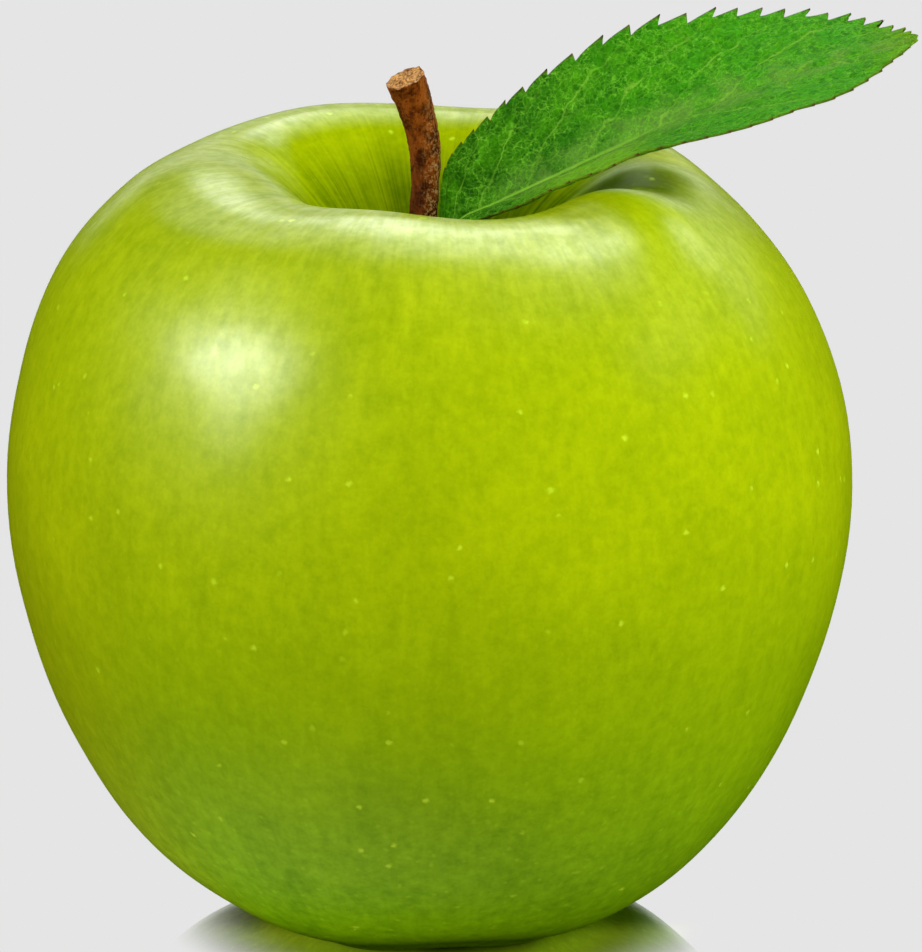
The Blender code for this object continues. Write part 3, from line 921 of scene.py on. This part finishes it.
# Soft boxes hang all round, 1.2 m from the apple. The fills only brighten the pieces. The others are what the waxy
# skin mirrors: bright boxes at the left, and paler ones behind and overhead.
LAMP_DISTANCE = 1200
LAMP_AIM = (AXIS_X, 0, 40)
FILL_SIZE = 530
FILLS = (
    # azimuth, elevation, radiance
    (-180, 14, 5.1),
    (-150, -12, 1.5),
    (-135, 14, 3.6),
    (-150, 50, 1.0),
    (-90, 46, 6.5),
    (-38, 48, 1.9),
    (-45, 14, 4.9),
    (0, 14, 8.9),
    (45, 25, 2.5),
    (90, 12, 8.0),
    (135, 25, 2.5),
)
MIRRORED = (
    # azimuth, elevation, width, height, radiance
    (-162, 34, 300, 300, 17.5),
    (-146, 34, 300, 300, 8.8),
    (-180, 34, 300, 300, 4.2),
    (-150, 20, 300, 300, 4.0),
    (-172, 47, 600, 300, 2.0),
    (-172, 20, 450, 300, 1.1),
    (30, 62, 300, 300, 8.9),
    (34, 48, 300, 300, 5.2),
    (43, 34, 300, 300, 3.8),
    (75, 62, 600, 300, 6.1),
    (84, 48, 600, 300, 7.0),
    (94, 34, 300, 300, 5.1),
    (60, 76, 300, 300, 4.8),
    (120, 76, 300, 300, 2.1),
    (117, 48, 320, 600, 1.5),
    (50, 20, 1000, 300, 0.6),
    (92, 8, 1000, 300, 0.9),
    (0, 34, 600, 300, 0.6),
)


def softbox(azimuth, elevation, width, height, radiance, mirrored):
    """A rectangular light that faces the apple. Its radiance is that of its face."""
    lamp = bpy.data.lights.new("softbox", "AREA")
    lamp.shape = "RECTANGLE"
    lamp.size = width * MM
    lamp.size_y = height * MM
    lamp.energy = radiance * math.pi * lamp.size * lamp.size_y
    box = bpy.data.objects.new("softbox", lamp)
    scene.collection.objects.link(box)
    turn, rise = math.radians(azimuth), math.radians(elevation)
    away = Vector((math.cos(rise) * math.cos(turn), math.cos(rise) * math.sin(turn), math.sin(rise)))
    box.location = (Vector(LAMP_AIM) + away * LAMP_DISTANCE) * MM
    box.rotation_euler = away.to_track_quat("Z", "Y").to_euler()
    if mirrored:
        box.light_linking.receiver_collection = shiny
    box.visible_camera = False
    box.visible_diffuse = not mirrored
    box.visible_glossy = mirrored
    lamp.cycles.use_multiple_importance_sampling = mirrored


shiny = bpy.data.collections.new("mirrors the boxes")
for piece in (fruit, stem, leaf):
    shiny.objects.link(piece)
for azimuth, elevation, radiance in FILLS:
    softbox(azimuth, elevation, FILL_SIZE, FILL_SIZE, radiance, False)
for row in MIRRORED:
    softbox(*row, True)

# Light from the lit table reaches the underside of the fruit. It comes from a ring of its own, just under the
# table's top, which no camera and no reflection sees. There is no light from anywhere else.
GLOW_INNER = 28
GLOW_OUTER = 150
GLOW_FADE = (66, 28)
GLOW_RIGHT_TO_LEFT = (34, -40)
GLOW_AT_RIGHT = 0.2
GLOW_NEAR = 1.1
GLOW_FAR = 0.02
GLOW_SINK = 0.5

glow, paint, own, (x, y, z) = start_material("table_glow")
reach = (x * x + y * y) ** 0.5
bright = reach.ramp(*GLOW_FADE) * (GLOW_AT_RIGHT + (1 - GLOW_AT_RIGHT) * x.ramp(*GLOW_RIGHT_TO_LEFT))
close_material(paint, paint.glow(bright.tint((GLOW_FAR,) * 3, (GLOW_NEAR,) * 3)))
bm = bmesh.new()
bmesh.ops.create_circle(bm, cap_ends=True, segments=ROUND_SIDES, radius=GLOW_OUTER)
bmesh.ops.inset_region(bm, faces=bm.faces[:], thickness=GLOW_OUTER - GLOW_INNER, use_boundary=True)
bmesh.ops.delete(bm, geom=[max(bm.faces, key=lambda face: len(face.verts))], context="FACES")
bmesh.ops.translate(bm, verts=bm.verts, vec=(0, 0, -GLOW_SINK))
ring = as_piece("table_glow", bm, glow)
ring.visible_camera = False
ring.visible_glossy = False

world = bpy.data.worlds.new("studio")
scene.world = world
world.use_nodes = True
world.node_tree.nodes["Background"].inputs["Color"].default_value = (0, 0, 0, 1)
